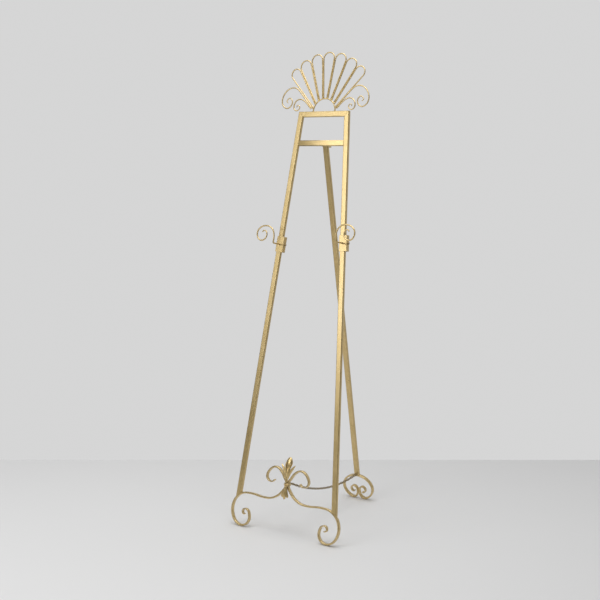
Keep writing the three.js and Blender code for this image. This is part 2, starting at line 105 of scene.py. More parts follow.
# ---- shader wrapper: values add their own Math nodes
class Value:
    def __init__(self, tree, socket=None):
        self.tree = tree
        self.socket = socket

    def node(self, kind, settings, inputs, output=0):
        made = self.tree.nodes.new(kind)
        for name, setting in settings.items():
            if name == "stops":
                ramp = made.color_ramp.elements
                while len(ramp) < len(setting):
                    ramp.new(0.5)
                for element, (position, colour) in zip(ramp, setting):
                    element.position = position
                    element.color = colour
            else:
                setattr(made, name, setting)
        for name, given in inputs.items():
            if isinstance(given, Value):
                self.tree.links.new(given.socket, made.inputs[name])
            else:
                made.inputs[name].default_value = given
        return Value(self.tree, made.outputs[output] if len(made.outputs) else None)

    def maths(self, operation, first, second):
        return self.node("ShaderNodeMath", {"operation": operation}, {0: first, 1: second})

    def __add__(self, other):
        return self.maths("ADD", self, other)

    def __radd__(self, other):
        return self.maths("ADD", other, self)

    def __sub__(self, other):
        return self.maths("SUBTRACT", self, other)

    def __rsub__(self, other):
        return self.maths("SUBTRACT", other, self)

    def __mul__(self, other):
        return self.maths("MULTIPLY", self, other)

    def __rmul__(self, other):
        return self.maths("MULTIPLY", other, self)


def ramp(start, low, high):
    # a value spread from 0 at low to 1 at high
    return start.node(
        "ShaderNodeMapRange", {"clamp": True}, {"Value": start, "From Min": low, "From Max": high}
    )


def mixColours(start, share, first, second):
    return start.node(
        "ShaderNodeMix", {"data_type": "RGBA"}, {0: share, 6: first, 7: second}, output=2
    )


# ---- finishes
goldFinish = {
    "colour": (0.67, 0.505, 0.235, 1),
    "deep": (0.59, 0.435, 0.185, 1),
    "pale": (0.74, 0.575, 0.30, 1),
    # rubbed paint on proud edges, painted lighter so it also serves as a painted edge highlight
    "rubAndHighlight": (0.82, 0.665, 0.39, 1),
    # dust patches, and painted shade laid into corners and crevices
    "dustAndShade": (0.30, 0.20, 0.085, 1),
    "metallic": 0.72,
    "roughness": 0.29,
    "coat": 0.45,
    "coatRoughness": 0.20,
    "bump": 0.03,
    "bumpDepth": 0.00025,
    "peel": 420,  # orange peel of the sprayed paint, per metre
    "flake": 2600,
    "mottle": 16,
}
brassFinish = {
    "colour": (0.36, 0.27, 0.14, 1),
    "deep": (0.20, 0.145, 0.07, 1),
    "pale": (0.50, 0.40, 0.22, 1),
    # rubbed paint on proud edges, painted lighter so it also serves as a painted edge highlight
    "rubAndHighlight": (0.74, 0.60, 0.36, 1),
    # dust patches, and painted shade laid into corners and crevices
    "dustAndShade": (0.16, 0.12, 0.07, 1),
    "metallic": 0.9,
    "roughness": 0.32,
    "coat": 0.45,
    "coatRoughness": 0.20,
    "bump": 0.03,
    "bumpDepth": 0.00025,
    "peel": 900,
    "flake": 3600,
    "mottle": 60,
}


def metalPaint(name, finish):
    material = bpy.data.materials.new(name)
    material.use_nodes = True
    tree = material.node_tree
    tree.nodes.clear()
    start = Value(tree)
    place = start.node("ShaderNodeTexCoord", {}, {}, output="Object")
    proudEdgeMask = start.node("ShaderNodeAttribute", {"attribute_name": "edgeWear"}, {}, output="Fac")
    seam = start.node("ShaderNodeAttribute", {"attribute_name": "crevice"}, {}, output="Fac")

    def grain(scale, detail, roughness=0.5):
        sizes = {"Vector": place, "Scale": scale, "Detail": detail, "Roughness": roughness}
        return start.node("ShaderNodeTexNoise", {}, sizes)

    mottle = grain(finish["mottle"], 5, 0.62)
    cloud = grain(finish["mottle"] * 5.5, 3)
    peel = grain(finish["peel"], 2)
    patches = grain(finish["mottle"] * 9, 6, 0.7)
    flakeSizes = {"Vector": place, "Scale": finish["flake"]}
    flake = start.node("ShaderNodeTexVoronoi", {"feature": "F1"}, flakeSizes, output="Color")
    flakeTone = start.node("ShaderNodeSeparateColor", {}, {0: flake})

    body = mixColours(start, ramp(mottle, 0.35, 0.68), finish["deep"], finish["colour"])
    body = mixColours(start, ramp(cloud, 0.5, 0.8) * 0.45, body, finish["pale"])
    body = mixColours(start, ramp(flakeTone, 0.82, 1.0) * 0.10, body, finish["pale"])
    # painted shade: the dark dust colour is laid into corners and crevices in patches to stand in for shade there;
    # the small second term is a few real dust patches all over
    dustAndCreviceShade = seam * ramp(patches, 0.25, 0.6) * 0.75 + ramp(patches, 0.70, 0.86) * 0.04
    body = mixColours(start, ramp(dustAndCreviceShade, 0.0, 1.0), body, finish["dustAndShade"])
    # rubbed paint on proud edges, and a painted highlight: the lighter rub colour there also stands in for the bright
    # edge highlights
    rubbedAndHighlit = ramp(proudEdgeMask * (patches * 0.9 + 0.45), 0.22, 0.85)
    body = mixColours(start, rubbedAndHighlit * 0.45, body, finish["rubAndHighlight"])

    rough = finish["roughness"] + (mottle - 0.5) * 0.08 + (peel - 0.5) * 0.05
    rough = rough + dustAndCreviceShade * 0.28 - rubbedAndHighlit * 0.10
    metal = finish["metallic"] + rubbedAndHighlit * 0.12 - dustAndCreviceShade * 0.35
    height = peel * 0.7 + cloud * 0.2 + flakeTone * 0.04
    relief = {"Height": height, "Strength": finish["bump"], "Distance": finish["bumpDepth"]}
    bump = start.node("ShaderNodeBump", {}, relief)
    surface = start.node(
        "ShaderNodeBsdfPrincipled",
        {},
        {"Base Color": body, "Metallic": ramp(metal, 0, 1), "Roughness": ramp(rough, 0, 1), "Normal": bump},
    )
    surface.socket.node.inputs["Coat Weight"].default_value = finish["coat"]
    surface.socket.node.inputs["Coat Roughness"].default_value = finish["coatRoughness"]
    start.node("ShaderNodeOutputMaterial", {}, {"Surface": surface})
    return material


goldPaint = metalPaint("goldPaint", goldFinish)
brassPlate = metalPaint("brassPlate", brassFinish)
print("finishes made")


# ---- lines that bars and wires follow
def smoothLine(points, pieces=24):
    # a smooth line through the points, in metres, with the distance travelled at each of its steps
    knots = [Vector((*point, 0)[:3]) * millimetre for point in points]
    knots = [2 * knots[0] - knots[1], *knots, 2 * knots[-1] - knots[-2]]
    line = []
    for a, b, c, d in zip(knots, knots[1:], knots[2:], knots[3:]):
        t1 = math.sqrt((b - a).length)
        t2 = t1 + math.sqrt((c - b).length)
        t3 = t2 + math.sqrt((d - c).length)
        for i in range(pieces):
            t = t1 + (t2 - t1) * i / pieces
            ab = a.lerp(b, t / t1)
            bc = b.lerp(c, (t - t1) / (t2 - t1))
            cd = c.lerp(d, (t - t2) / (t3 - t2))
            line.append(ab.lerp(bc, t / t2).lerp(bc.lerp(cd, (t - t1) / (t3 - t1)), (t - t1) / (t2 - t1)))
    line.append(knots[-2])
    return measured(line)


def measured(line):
    travel = [0.0]
    for before, after in zip(line, line[1:]):
        travel.append(travel[-1] + (after - before).length)
    return {"points": line, "travel": travel, "length": travel[-1]}


def pointAt(line, distance):
    points, travel = line["points"], line["travel"]
    i = min(max(bisect.bisect_right(travel, distance) - 1, 0), len(points) - 2)
    share = (distance - travel[i]) / (travel[i + 1] - travel[i])
    headings = [points[min(k + 1, len(points) - 1)] - points[max(k - 1, 0)] for k in (i, i + 1)]
    tangent = headings[0].normalized().lerp(headings[1].normalized(), share).normalized()
    return points[i].lerp(points[i + 1], share), tangent


def stationsOn(line, noses=(0, 0), turn=6.0, step=9.0):
    # distances for sections: close together in bends and where an end rounds off, opening out gradually
    travel, length, reach = line["travel"], line["length"], 0.8 * millimetre
    gaps = []
    for distance in travel:
        near, far = max(0, distance - reach), min(length, distance + reach)
        turned = math.degrees(pointAt(line, near)[1].angle(pointAt(line, far)[1], 0)) / (far - near)
        gaps.append(min(step * millimetre, turn / max(turned, 1), length))
    for order in (range(1, len(gaps)), range(-2, -len(gaps) - 1, -1)):
        for i in order:
            beside = i - 1 if i > 0 else i + 1
            gaps[i] = max(min(gaps[i], gaps[beside] + 0.2 * abs(travel[i] - travel[beside])), 0.45 * millimetre)
    swing = [math.radians(angle) for angle in (8, 26, 44, 64, 90)]
    first = [noses[0] * (1 - math.cos(angle)) for angle in swing] if noses[0] else [0.0]
    final = [length - noses[1] * (1 - math.cos(angle)) for angle in reversed(swing)] if noses[1] else [length]
    walked = [first[-1]]
    while walked[-1] < final[0]:
        walked.append(walked[-1] + gaps[min(bisect.bisect_right(travel, walked[-1]), len(gaps) - 1)])
    fit = (final[0] - first[-1]) / (walked[-1] - walked[0])
    return first + [walked[0] + (distance - walked[0]) * fit for distance in walked[1:-1]] + final


def noseShare(distance, length, noses):
    share = 1.0
    for nose, away in ((noses[0], distance), (noses[1], length - distance)):
        if nose and away < nose:
            share *= math.sqrt(max(0.0, 1 - (1 - away / nose) ** 2))
    return max(share, 0.04)


# ---- sections and sweeps
def roundSection(mesh, radius, sides=12):
    made = bmesh.ops.create_circle(mesh, cap_ends=True, radius=radius, segments=sides)
    return next(iter(made["verts"][0].link_faces))


def barSection(mesh, across, deep, corner, rounds=3):
    made = bmesh.ops.create_grid(mesh, x_segments=1, y_segments=1, size=0.5)
    bmesh.ops.scale(mesh, vec=(across, deep, 1), verts=made["verts"])
    bmesh.ops.bevel(
        mesh, geom=made["verts"], offset=corner, offset_type="OFFSET", segments=rounds,
        profile=0.5, affect="VERTICES", material=-1,
    )
    return next(iter(mesh.faces))


def drawOut(mesh, face, cap=False):
    # carries a section's face one step on; the first one stays as the end cap
    grown = bmesh.ops.extrude_face_region(mesh, geom=[face])
    if not cap:
        bmesh.ops.delete(mesh, geom=[face], context="FACES_ONLY")
    return next(part for part in grown["geom"] if isinstance(part, bmesh.types.BMFace))


def sweep(mesh, face, line, side, scaleAt=None, noses=(0, 0), turn=6.0, step=9.0):
    # carries a section along a line and leaves a closed bar
    before = Matrix.Identity(4)
    for i, distance in enumerate(stationsOn(line, noses, turn, step)):
        point, tangent = pointAt(line, distance)
        side = (side - tangent * side.dot(tangent)).normalized()
        across, deep = scaleAt(distance) if scaleAt else (1, 1)
        share = noseShare(distance, line["length"], noses)
        place = Matrix((side * across * share, tangent.cross(side) * deep * share, tangent)).transposed().to_4x4()
        place.translation = point
        if i:
            face = drawOut(mesh, face, cap=i == 1)
        bmesh.ops.transform(mesh, matrix=place @ before.inverted(), verts=face.verts)
        before = place


def markEdgesAndCorners(mesh):
    # how sharply each vertex stands proud or sits in a corner: proud edges get rubbed paint and a painted highlight,
    # corners get dirt and painted shade
    proud = mesh.verts.layers.float.new("edgeWear")
    sunk = mesh.verts.layers.float.new("crevice")
    mesh.normal_update()
    for vert in mesh.verts:
        most, least = 0.0, 0.0
        for edge in vert.link_edges:
            other = edge.other_vert(vert)
            away = other.co - vert.co
            if away.length_squared < 1e-12:
                continue
            bend = (other.normal - vert.normal).dot(away) / away.length_squared
            most, least = max(most, bend), min(least, bend)
        if max(edge.calc_length() for edge in vert.link_edges) < 0.03:  # long flats would smear it along a tube
            vert[proud] = min(1.0, max(0.0, (most - 260) / 900))
            vert[sunk] = min(1.0, max(0.0, (-least - 60) / 500))


def finishPiece(mesh, name, body, material, place=None, stands=()):
    # closes a piece: normals, the edge and corner masks for wear, dirt, painted highlight and painted shade, finish
    # and the CAD nodes it stands for
    if place is not None:
        bmesh.ops.transform(mesh, matrix=place, verts=mesh.verts)
    bmesh.ops.recalc_face_normals(mesh, faces=mesh.faces)
    markEdgesAndCorners(mesh)
    for face in mesh.faces:
        face.smooth = True
    data = bpy.data.meshes.new(name)
    mesh.to_mesh(data)
    mesh.free()
    piece = bpy.data.objects.new(name, data)
    data.materials.append(material)
    bpy.context.scene.collection.objects.link(piece)
    even = piece.modifiers.new("evenNormals", "WEIGHTED_NORMAL")
    even.weight = 60
    if body:
        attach(piece, body)
    if stands:
        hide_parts(*stands)
    return piece


# ---- chain: welded links along the slack line between the two eyes
chainSizes = {"wire": 1.45, "width": 9.6, "pitch": 11.6, "diameter": 8.4, "roll": 34}
chainRoute = [
    (0, -210.9, 176.3), (0, -206.5, 174.5), (0, -180, 162.1), (0, -150, 149.2), (0, -120, 137.6), (0, -90, 127.4),
    (0, -60, 118.5), (0, -30, 110.9), (0, 0, 104.6), (0, 30, 99.6), (0, 60, 96), (0, 90, 93.6), (0, 120, 92.6),
    (0, 150, 92.9), (0, 180, 94.5), (0, 205, 96.8), (0, 222, 98.9), (0, 226.4, 99.6),
]


def chainLink(sizes):
    # one oval link about the origin, long along Y: a ring drawn out to the pitch
    mesh = bmesh.new()
    radius = (sizes["width"] / 2 - sizes["wire"]) * millimetre
    bmesh.ops.create_circle(mesh, cap_ends=False, radius=sizes["wire"] * millimetre, segments=8)
    upright = Matrix.Translation((radius, 0, 0)) @ Matrix.Rotation(math.radians(90), 4, "X")
    bmesh.ops.transform(mesh, matrix=upright, verts=mesh.verts)
    bmesh.ops.spin(
        mesh, geom=mesh.verts[:] + mesh.edges[:], cent=(0, 0, 0), axis=(0, 0, 1), dvec=(0, 0, 0),
        angle=2 * math.pi, steps=18, use_merge=True,
    )
    stretch = (sizes["pitch"] / 2 + 2 * sizes["wire"] - sizes["width"] / 2) * millimetre
    for vert in mesh.verts:
        vert.co.y += stretch if vert.co.y > 0 else -stretch
    link = bpy.data.meshes.new("chainLink")
    mesh.to_mesh(link)
    mesh.free()
    return link


def makeChain(sizes, route):
    line = smoothLine(route)
    link = chainLink(sizes)
    mesh = bmesh.new()
    count = round(line["length"] / (sizes["pitch"] * millimetre))
    pitch = line["length"] / count
    for i in range(count):
        point, tangent = pointAt(line, (i + 0.5) * pitch)
        side = Vector((1, 0, 0))
        place = Matrix((side, tangent, side.cross(tangent))).transposed().to_4x4()
        place.translation = point
        roll = Matrix.Rotation(math.radians(sizes["roll"] + 90 * (i % 2)), 4, "Y")
        already = len(mesh.verts)
        mesh.from_mesh(link)
        mesh.verts.ensure_lookup_table()
        bmesh.ops.transform(mesh, matrix=place @ roll, verts=mesh.verts[already:])
    chain = finishPiece(mesh, "linkChain", None, brassPlate, stands=["chain"])
    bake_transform(chain)
    path = [pointAt(line, line["length"] * i / 60)[0] for i in range(61)]
    return chain


makeChain(chainSizes, chainRoute)
print("chain made")


# ---- front frame: rectangular tube, mitred at the rail
tubeSizes = {
    "width": 20, "depth": 12, "rounding": 2.6, "railTop": 1495, "legTop": 95, "legFoot": 203,
    "archHeight": 113, "crossTop": 1392, "mitre": 0.25,
}
legSlope = (tubeSizes["legFoot"] - tubeSizes["legTop"]) / (tubeSizes["railTop"] - tubeSizes["archHeight"])
legTilt = math.atan(legSlope)
legHalf = tubeSizes["width"] / 2 / math.cos(legTilt)


def legAcross(height):
    return tubeSizes["legTop"] + (tubeSizes["railTop"] - height) * legSlope


def rectangularTube(corners, depth, rounding, back=None):
    # corners in the plane: low left, low right, top right, top left
    mesh = bmesh.new()
    bmesh.ops.create_cube(mesh, size=1)
    back = -depth if back is None else back
    low, high = corners[:2], [corners[3], corners[2]]
    for vert in mesh.verts:
        x, y = (high if vert.co.y > 0 else low)[1 if vert.co.x > 0 else 0]
        z = back + depth if vert.co.z > 0 else back
        vert.co = Vector((x, y, z)) * millimetre
    longEdges = sorted(mesh.edges, key=lambda edge: edge.calc_length())[-4:]
    bmesh.ops.bevel(
        mesh, geom=longEdges, offset=rounding * millimetre, offset_type="OFFSET", segments=5,
        profile=0.5, affect="EDGES", material=-1,
    )
    return mesh


def softenEnds(mesh, size, turn=50):
    # a fine break along the edges of the cut ends
    mesh.normal_update()
    sharp = [edge for edge in mesh.edges if edge.is_manifold and math.degrees(edge.calc_face_angle(0)) > turn]
    bmesh.ops.bevel(
        mesh, geom=sharp, offset=size * millimetre, offset_type="OFFSET", segments=2,
        profile=0.5, affect="EDGES", material=-1,
    )


def hollowEnd(mesh, pick, wall, deep):
    # opens one end of a tube
    mesh.normal_update()
    end = max(mesh.faces, key=lambda face: pick(face.calc_center_median()))
    heading = end.normal.copy()
    bmesh.ops.inset_region(mesh, faces=[end], thickness=wall * millimetre, use_even_offset=True)
    grown = bmesh.ops.extrude_face_region(mesh, geom=[end])
    verts = [part for part in grown["geom"] if isinstance(part, bmesh.types.BMVert)]
    bmesh.ops.translate(mesh, vec=-heading * deep * millimetre, verts=verts)
    bmesh.ops.delete(mesh, geom=[end] if end.is_valid else [], context="FACES_ONLY")


# ---- bent flat bar: feet with the low arch and the curl above the collar
barSizes = {"thick": 6.5, "tip": 3.6, "taper": 95, "depth": 12, "corner": 1.3, "collarHeight": 178}
besideMiddle = barSizes["thick"] / 2 + 0.3
footEye = [(-35, 44.5), (-28, 44.5), (-23.4, 51.5), (-26.5, 60), (-35.5, 63.7), (-46.5, 58.5), (-53, 44)]
footRound = [
    (-53.8, 27), (-44, 11), (-24, 3.25), (-1, 8.7), (15.5, 26.5), (23.3, 50), (22, 72), (14.3, 91.5),
    (0.2, 107), (-14, 116), (-31, 120.5),
]
footSpan = [(0.68, 121.5), (0.488, 117.5), (0.315, 119.8)]
footMiddle = [
    (35, 133.5), (15.5, 153.5), (besideMiddle + 1, 169.5), (besideMiddle, 178), (besideMiddle + 0.9, 187),
]
collarCurl = [
    (12, 19), (24.5, 37.5), (41, 51), (57, 54), (75, 44), (87, 26), (87.5, 12), (77.5, 1.5), (63.5, 0.5), (53, 9.5),
]
footPoints = (
    [(tubeSizes["legFoot"] + x, y) for x, y in footEye + footRound]
    + [(tubeSizes["legFoot"] * share, y) for share, y in footSpan]
    + footMiddle
    + [(x, barSizes["collarHeight"] + y) for x, y in collarCurl]
)
rearPoints = [
    (0.6, 96.2), (10, 95.7), (23, 92.9), (40, 85), (55, 71), (63.3, 51), (61.3, 33), (50.5, 16.5), (37, 6.5),
    (24.5, 3.25), (12.5, 7.5), (5.5, 18), (besideMiddle + 0.2, 30), (5.8, 42), (13, 49), (22, 50), (29.7, 43.5),
    (31, 34), (24.5, 26.8), (16, 28.2),
]


def bentBar(name, body, points, side, place, back, tapers, stands):
    line = smoothLine([(side * x, y, back + barSizes["depth"] / 2) for x, y in points])
    thin = barSizes["tip"] / barSizes["thick"]
    reach = barSizes["taper"] * millimetre

    def thickness(distance):
        fromEnds = [away / reach for away, tapered in zip((distance, line["length"] - distance), tapers) if tapered]
        return (thin + (1 - thin) * min([1.0] + fromEnds), 1)

    mesh = bmesh.new()
    face = barSection(
        mesh, barSizes["thick"] * millimetre, barSizes["depth"] * millimetre, barSizes["corner"] * millimetre
    )
    nose = barSizes["tip"] / 2 * millimetre
    start = pointAt(line, 0)[1].cross(Vector((0, 0, 1)))
    sweep(mesh, face, line, start, thickness, (nose * tapers[0], nose * tapers[1]), turn=6, step=8)
    return finishPiece(mesh, name, body, goldPaint, place, stands)


def makeFeet():
    for label, side in (("left", -1), ("right", 1)):
        bentBar(
            label + "FootScroll", "frame", footPoints, side, frontPlane, -barSizes["depth"], (1, 1),
            [label + "_foot_bar"],
        )


def underLeg(offset):
    # where the foot bar passes under a line of the leg
    line = smoothLine(footPoints)
    onArch = [p / millimetre for p in line["points"] if p.y > 0.083 and p.x > 0.150]
    best = min(onArch, key=lambda p: abs(p.x - legAcross(p.y) - offset))
    return best.x, best.y


def makeFrameTubes():
    sizes = tubeSizes
    railLow = sizes["railTop"] - sizes["width"]
    gap = sizes["mitre"]
    for label, side in (("left", -1), ("right", 1)):
        low = [underLeg(-legHalf), underLeg(legHalf)]
        high = [(legAcross(railLow) - legHalf, railLow), (legAcross(sizes["railTop"]) + legHalf, sizes["railTop"])]
        corners = [(side * x, y) for x, y in (low + high[::-1] if side > 0 else low[::-1] + high)]
        mesh = rectangularTube(corners, sizes["depth"], sizes["rounding"])
        softenEnds(mesh, 0.5)
        finishPiece(mesh, label + "LegTube", "frame", goldPaint, frontPlane, [label + "_leg"])
    topHalf = legAcross(sizes["railTop"]) + legHalf - gap
    lowHalf = legAcross(railLow) - legHalf - gap
    corners = [(-lowHalf, railLow), (lowHalf, railLow), (topHalf, sizes["railTop"]), (-topHalf, sizes["railTop"])]
    mesh = rectangularTube(corners, sizes["depth"], sizes["rounding"])
    softenEnds(mesh, 0.5)
    finishPiece(mesh, "topRailTube", "frame", goldPaint, frontPlane, ["top_rail"])
    crossLow = sizes["crossTop"] - sizes["width"]
    topHalf = legAcross(sizes["crossTop"]) - legHalf + 0.6
    lowHalf = legAcross(crossLow) - legHalf + 0.6
    corners = [(-lowHalf, crossLow), (lowHalf, crossLow), (topHalf, sizes["crossTop"]), (-topHalf, sizes["crossTop"])]
    mesh = rectangularTube(corners, sizes["depth"], sizes["rounding"])
    finishPiece(mesh, "crossBarTube", "frame", goldPaint, frontPlane, ["cross_bar"])


makeFeet()
makeFrameTubes()
print("front frame made")


# ---- welds: small lumpy beads, ripples along a seam
def weldBead(mesh, centre, size, seed=0):
    made = bmesh.ops.create_icosphere(mesh, subdivisions=3, radius=1)
    for vert in made["verts"]:
        lump = noise.noise(vert.co * 1.6 + Vector((seed, 2.3 * seed, 0)))
        vert.co *= 1 + 0.16 * lump
    bmesh.ops.scale(mesh, vec=Vector(size) * millimetre, verts=made["verts"])
    bmesh.ops.translate(mesh, vec=Vector(centre) * millimetre, verts=made["verts"])


def weldSeam(mesh, start, end, radius, ripple=1.7):
    line = measured([Vector(start).lerp(Vector(end), i / 40) * millimetre for i in range(41)])
    face = roundSection(mesh, radius * millimetre, 8)
    heading = (Vector(end) - Vector(start)).normalized()
    side = heading.orthogonal()

    def swell(distance):
        wave = 1 + 0.13 * math.sin(distance / millimetre * 2 * math.pi / ripple)
        return (wave, wave)

    nose = radius * millimetre
    sweep(mesh, face, line, side, swell, (nose, nose), step=ripple / 4)


# ---- crest: half-round arch, fan of petals and two scrolls on each side
crestSizes = {
    "wire": 2.25, "set": -3, "scrollSet": 1, "arch": 45.25, "reach": 211, "petals": 7, "baseStep": 21.5,
    "tipStep": 15.1, "outerIn": 1.3, "touch": 183.6, "gap": 0.3,
}
bigScroll = [
    (116.2, 82.5), (136.2, 86), (156.2, 78.5), (170.7, 61.5), (176.5, 41), (170.2, 22),
    (152.2, 12.2), (136.7, 20), (131.5, 36.5), (143.7, 49.4), (155.9, 38), (149.2, 31.5),
]
smallScroll = [
    (68.4, 32.6), (81.4, 41), (95.4, 44), (109.4, 38.3), (118, 23.5), (116.4, 10),
    (108.4, 3.3), (98.9, 4.8), (92.7, 13), (96.4, 21.5), (103.9, 21.3), (105.9, 14.5),
]
railTop = tubeSizes["railTop"]
laneStep = 2 * crestSizes["wire"] + crestSizes["gap"]


def fanPoint(radius, degrees):
    angle = math.radians(degrees)
    return Vector((radius * math.sin(angle), railTop + radius * math.cos(angle)))


def petalEdge(boundary):
    # the line between two petals, from the arch to where their round ends touch
    sizes = crestSizes
    half = sizes["petals"] / 2
    tip = boundary * sizes["tipStep"]
    if abs(boundary) == half:
        tip = math.copysign(half * sizes["tipStep"] - sizes["outerIn"], boundary)
    base = fanPoint(sizes["arch"] + sizes["wire"] * 1.9 + sizes["gap"], boundary * sizes["baseStep"])
    along = (fanPoint(sizes["touch"], tip) - base).normalized()
    return base, along, Vector((along.y, -along.x))


def wirePiece(name, line, radius, place, stands, body="frame", noses=(0, 0), taper=None, step=9.0):
    mesh = bmesh.new()
    face = roundSection(mesh, radius * millimetre, 14)
    side = pointAt(line, 0)[1].cross(Vector((0, 0, 1)))
    if side.length < 0.1:
        side = Vector((1, 0, 0))
    sweep(mesh, face, line, side.normalized(), taper, noses, turn=6, step=step)
    return finishPiece(mesh, name, body, goldPaint, place, stands)


def flatLine(points, depth):
    return measured([Vector((x, y, depth)) * millimetre for x, y in points])


def arcPoints(centre, radius, first, last, count):
    angles = [first + (last - first) * i / count for i in range(count + 1)]
    return [(centre[0] + radius * math.cos(a), centre[1] + radius * math.sin(a)) for a in angles]


def makePetal(index):
    sizes = crestSizes
    offset = sizes["wire"] + sizes["gap"] / 2
    leftBase, leftAlong, leftRight = petalEdge(index - 0.5)
    rightBase, rightAlong, rightRight = petalEdge(index + 0.5)
    leftBase = leftBase + leftRight * offset
    rightBase = rightBase - rightRight * offset
    cross = leftAlong.x * rightAlong.y - leftAlong.y * rightAlong.x
    apart = rightBase - leftBase
    meet = leftBase + leftAlong * ((apart.x * rightAlong.y - apart.y * rightAlong.x) / cross)
    axis = (leftAlong + rightAlong).normalized()
    growth = math.sin(math.asin(abs(cross)) / 2)
    fromCentre = meet - Vector((0, railTop))
    reach = sizes["reach"] - sizes["wire"]
    b = fromCentre.dot(axis) + reach * growth
    shrink = 1 - growth * growth
    away = (math.sqrt(b * b - shrink * (fromCentre.length_squared - reach * reach)) - b) / shrink
    centre = meet + axis * away
    radius = away * growth
    first = math.atan2(-leftRight.y, -leftRight.x)
    last = math.atan2(rightRight.y, rightRight.x)
    while last > first:
        last -= 2 * math.pi
    sunk = 1.6  # the ends run into the arch, under their welds
    points = [tuple(leftBase - leftAlong * sunk)] + arcPoints(centre, radius, first, last, 60)
    points.append(tuple(rightBase - rightAlong * sunk))
    number = int(index + (sizes["petals"] + 1) / 2)
    wirePiece(
        "crestPetal%d" % number, flatLine(points, sizes["set"]), sizes["wire"], frontPlane,
        ["crest_petal_%d" % number], step=30,
    )


def makeCrestScroll(name, side, lane, straight, points, node):
    sizes = crestSizes
    base, along, right = petalEdge(sizes["petals"] / 2)
    start = base + right * laneStep * (lane - 0.5)
    leave = start + along * straight
    knots = [start, start.lerp(leave, 0.5), leave] + [Vector((laneStep * lane + x, railTop + y)) for x, y in points]
    line = smoothLine([(side * knot.x, knot.y, sizes["scrollSet"]) for knot in knots])
    thin = 0.72

    def taper(distance):
        share = min(1.0, (line["length"] - distance) / 0.070)
        return (thin + (1 - thin) * share,) * 2

    nose = sizes["wire"] * millimetre
    wirePiece(name, line, sizes["wire"], frontPlane, [node], noses=(nose, nose * thin), taper=taper)


def makeCrest():
    sizes = crestSizes
    arch = arcPoints((0, railTop - 0.4), sizes["arch"], math.pi, 0, 72)
    wirePiece("crestArch", flatLine(arch, sizes["set"]), sizes["wire"], frontPlane, ["crest_arch"])
    middle = (sizes["petals"] - 1) / 2
    for i in range(sizes["petals"]):
        makePetal(i - middle)
    for label, side in (("left", -1), ("right", 1)):
        makeCrestScroll(label + "BigCrestScroll", side, 1, 62, bigScroll, label + "_big_crest_scroll")
        makeCrestScroll(label + "SmallCrestScroll", side, 2, 6, smallScroll, label + "_small_crest_scroll")


def makeCrestWelds():
    sizes = crestSizes
    mesh = bmesh.new()
    half = sizes["petals"] / 2
    for i in range(sizes["petals"] + 1):
        boundary = i - half
        base, along, right = petalEdge(boundary)
        spot = base - along * 1.2
        weldBead(mesh, (spot.x, spot.y, sizes["set"]), (4.3, 3.1, 2.9), seed=i)
        for lane in (1, 2) if abs(boundary) == half else ():
            spot = base + math.copysign(laneStep * (lane - 0.6), boundary) * right + along * (1.5 + 5 * lane)
            weldBead(mesh, (spot.x, spot.y, sizes["set"] + 2.2), (2.2, 3.4, 2.0), seed=i + lane * 3)
    for side in (-1, 1):
        weldBead(mesh, (side * sizes["arch"], railTop + 0.3, sizes["set"]), (3.5, 1.6, 3.3), seed=20 + side)
        tip = petalEdge(half)
        spot = tip[0] + tip[1] * 62 + tip[2] * 0.5
        weldBead(mesh, (side * spot.x, spot.y, sizes["set"] + 2.0), (2.0, 4.0, 1.8), seed=28 + side)
    finishPiece(mesh, "crestWelds", "frame", goldPaint, frontPlane)


makeCrest()
makeCrestWelds()
print("crest made")


# ---- collar, cast finial and drop
collarSizes = {
    "middle": 178, "inside": (14.7, 12.6), "wall": 3, "corner": 4.2, "back": -6,
    # height from the middle and how far the face stands out there
    "profile": [
        (-5.5, -1.0), (-5.2, -0.3), (-4.4, 0.0), (-3.6, -0.3), (-3.1, -1.1), (-2.6, -0.7), (-1.6, 0.3), (-0.4, 0.9),
        (0.8, 0.9), (1.9, 0.3), (2.7, -0.6), (3.1, -1.1), (3.6, -0.4), (4.4, 0.0), (5.1, -0.3), (5.5, -1.0),
    ],
}


def makeCollar():
    sizes = collarSizes
    mesh = bmesh.new()
    across = sizes["inside"][0] + 2 * sizes["wall"]
    deep = sizes["inside"][1] + 2 * sizes["wall"]
    face = barSection(mesh, across * millimetre, deep * millimetre, sizes["corner"] * millimetre, rounds=5)
    before = Matrix.Identity(4)
    for i, (height, out) in enumerate(sizes["profile"]):
        spread = Matrix.Diagonal((1 + 2 * out / across, 1 + 2 * out / deep, 1, 1))
        place = Matrix.Translation((0, 0, height * millimetre)) @ spread
        if i:
            face = drawOut(mesh, face, cap=i == 1)
        bmesh.ops.transform(mesh, matrix=place @ before.inverted(), verts=face.verts)
        before = place
    middle = Matrix.Translation(Vector((0, sizes["middle"], sizes["back"])) * millimetre)
    upright = middle @ Matrix.Rotation(math.radians(-90), 4, "X")
    return finishPiece(mesh, "collarBand", "frame", goldPaint, frontPlane @ upright, ["collar_band"])


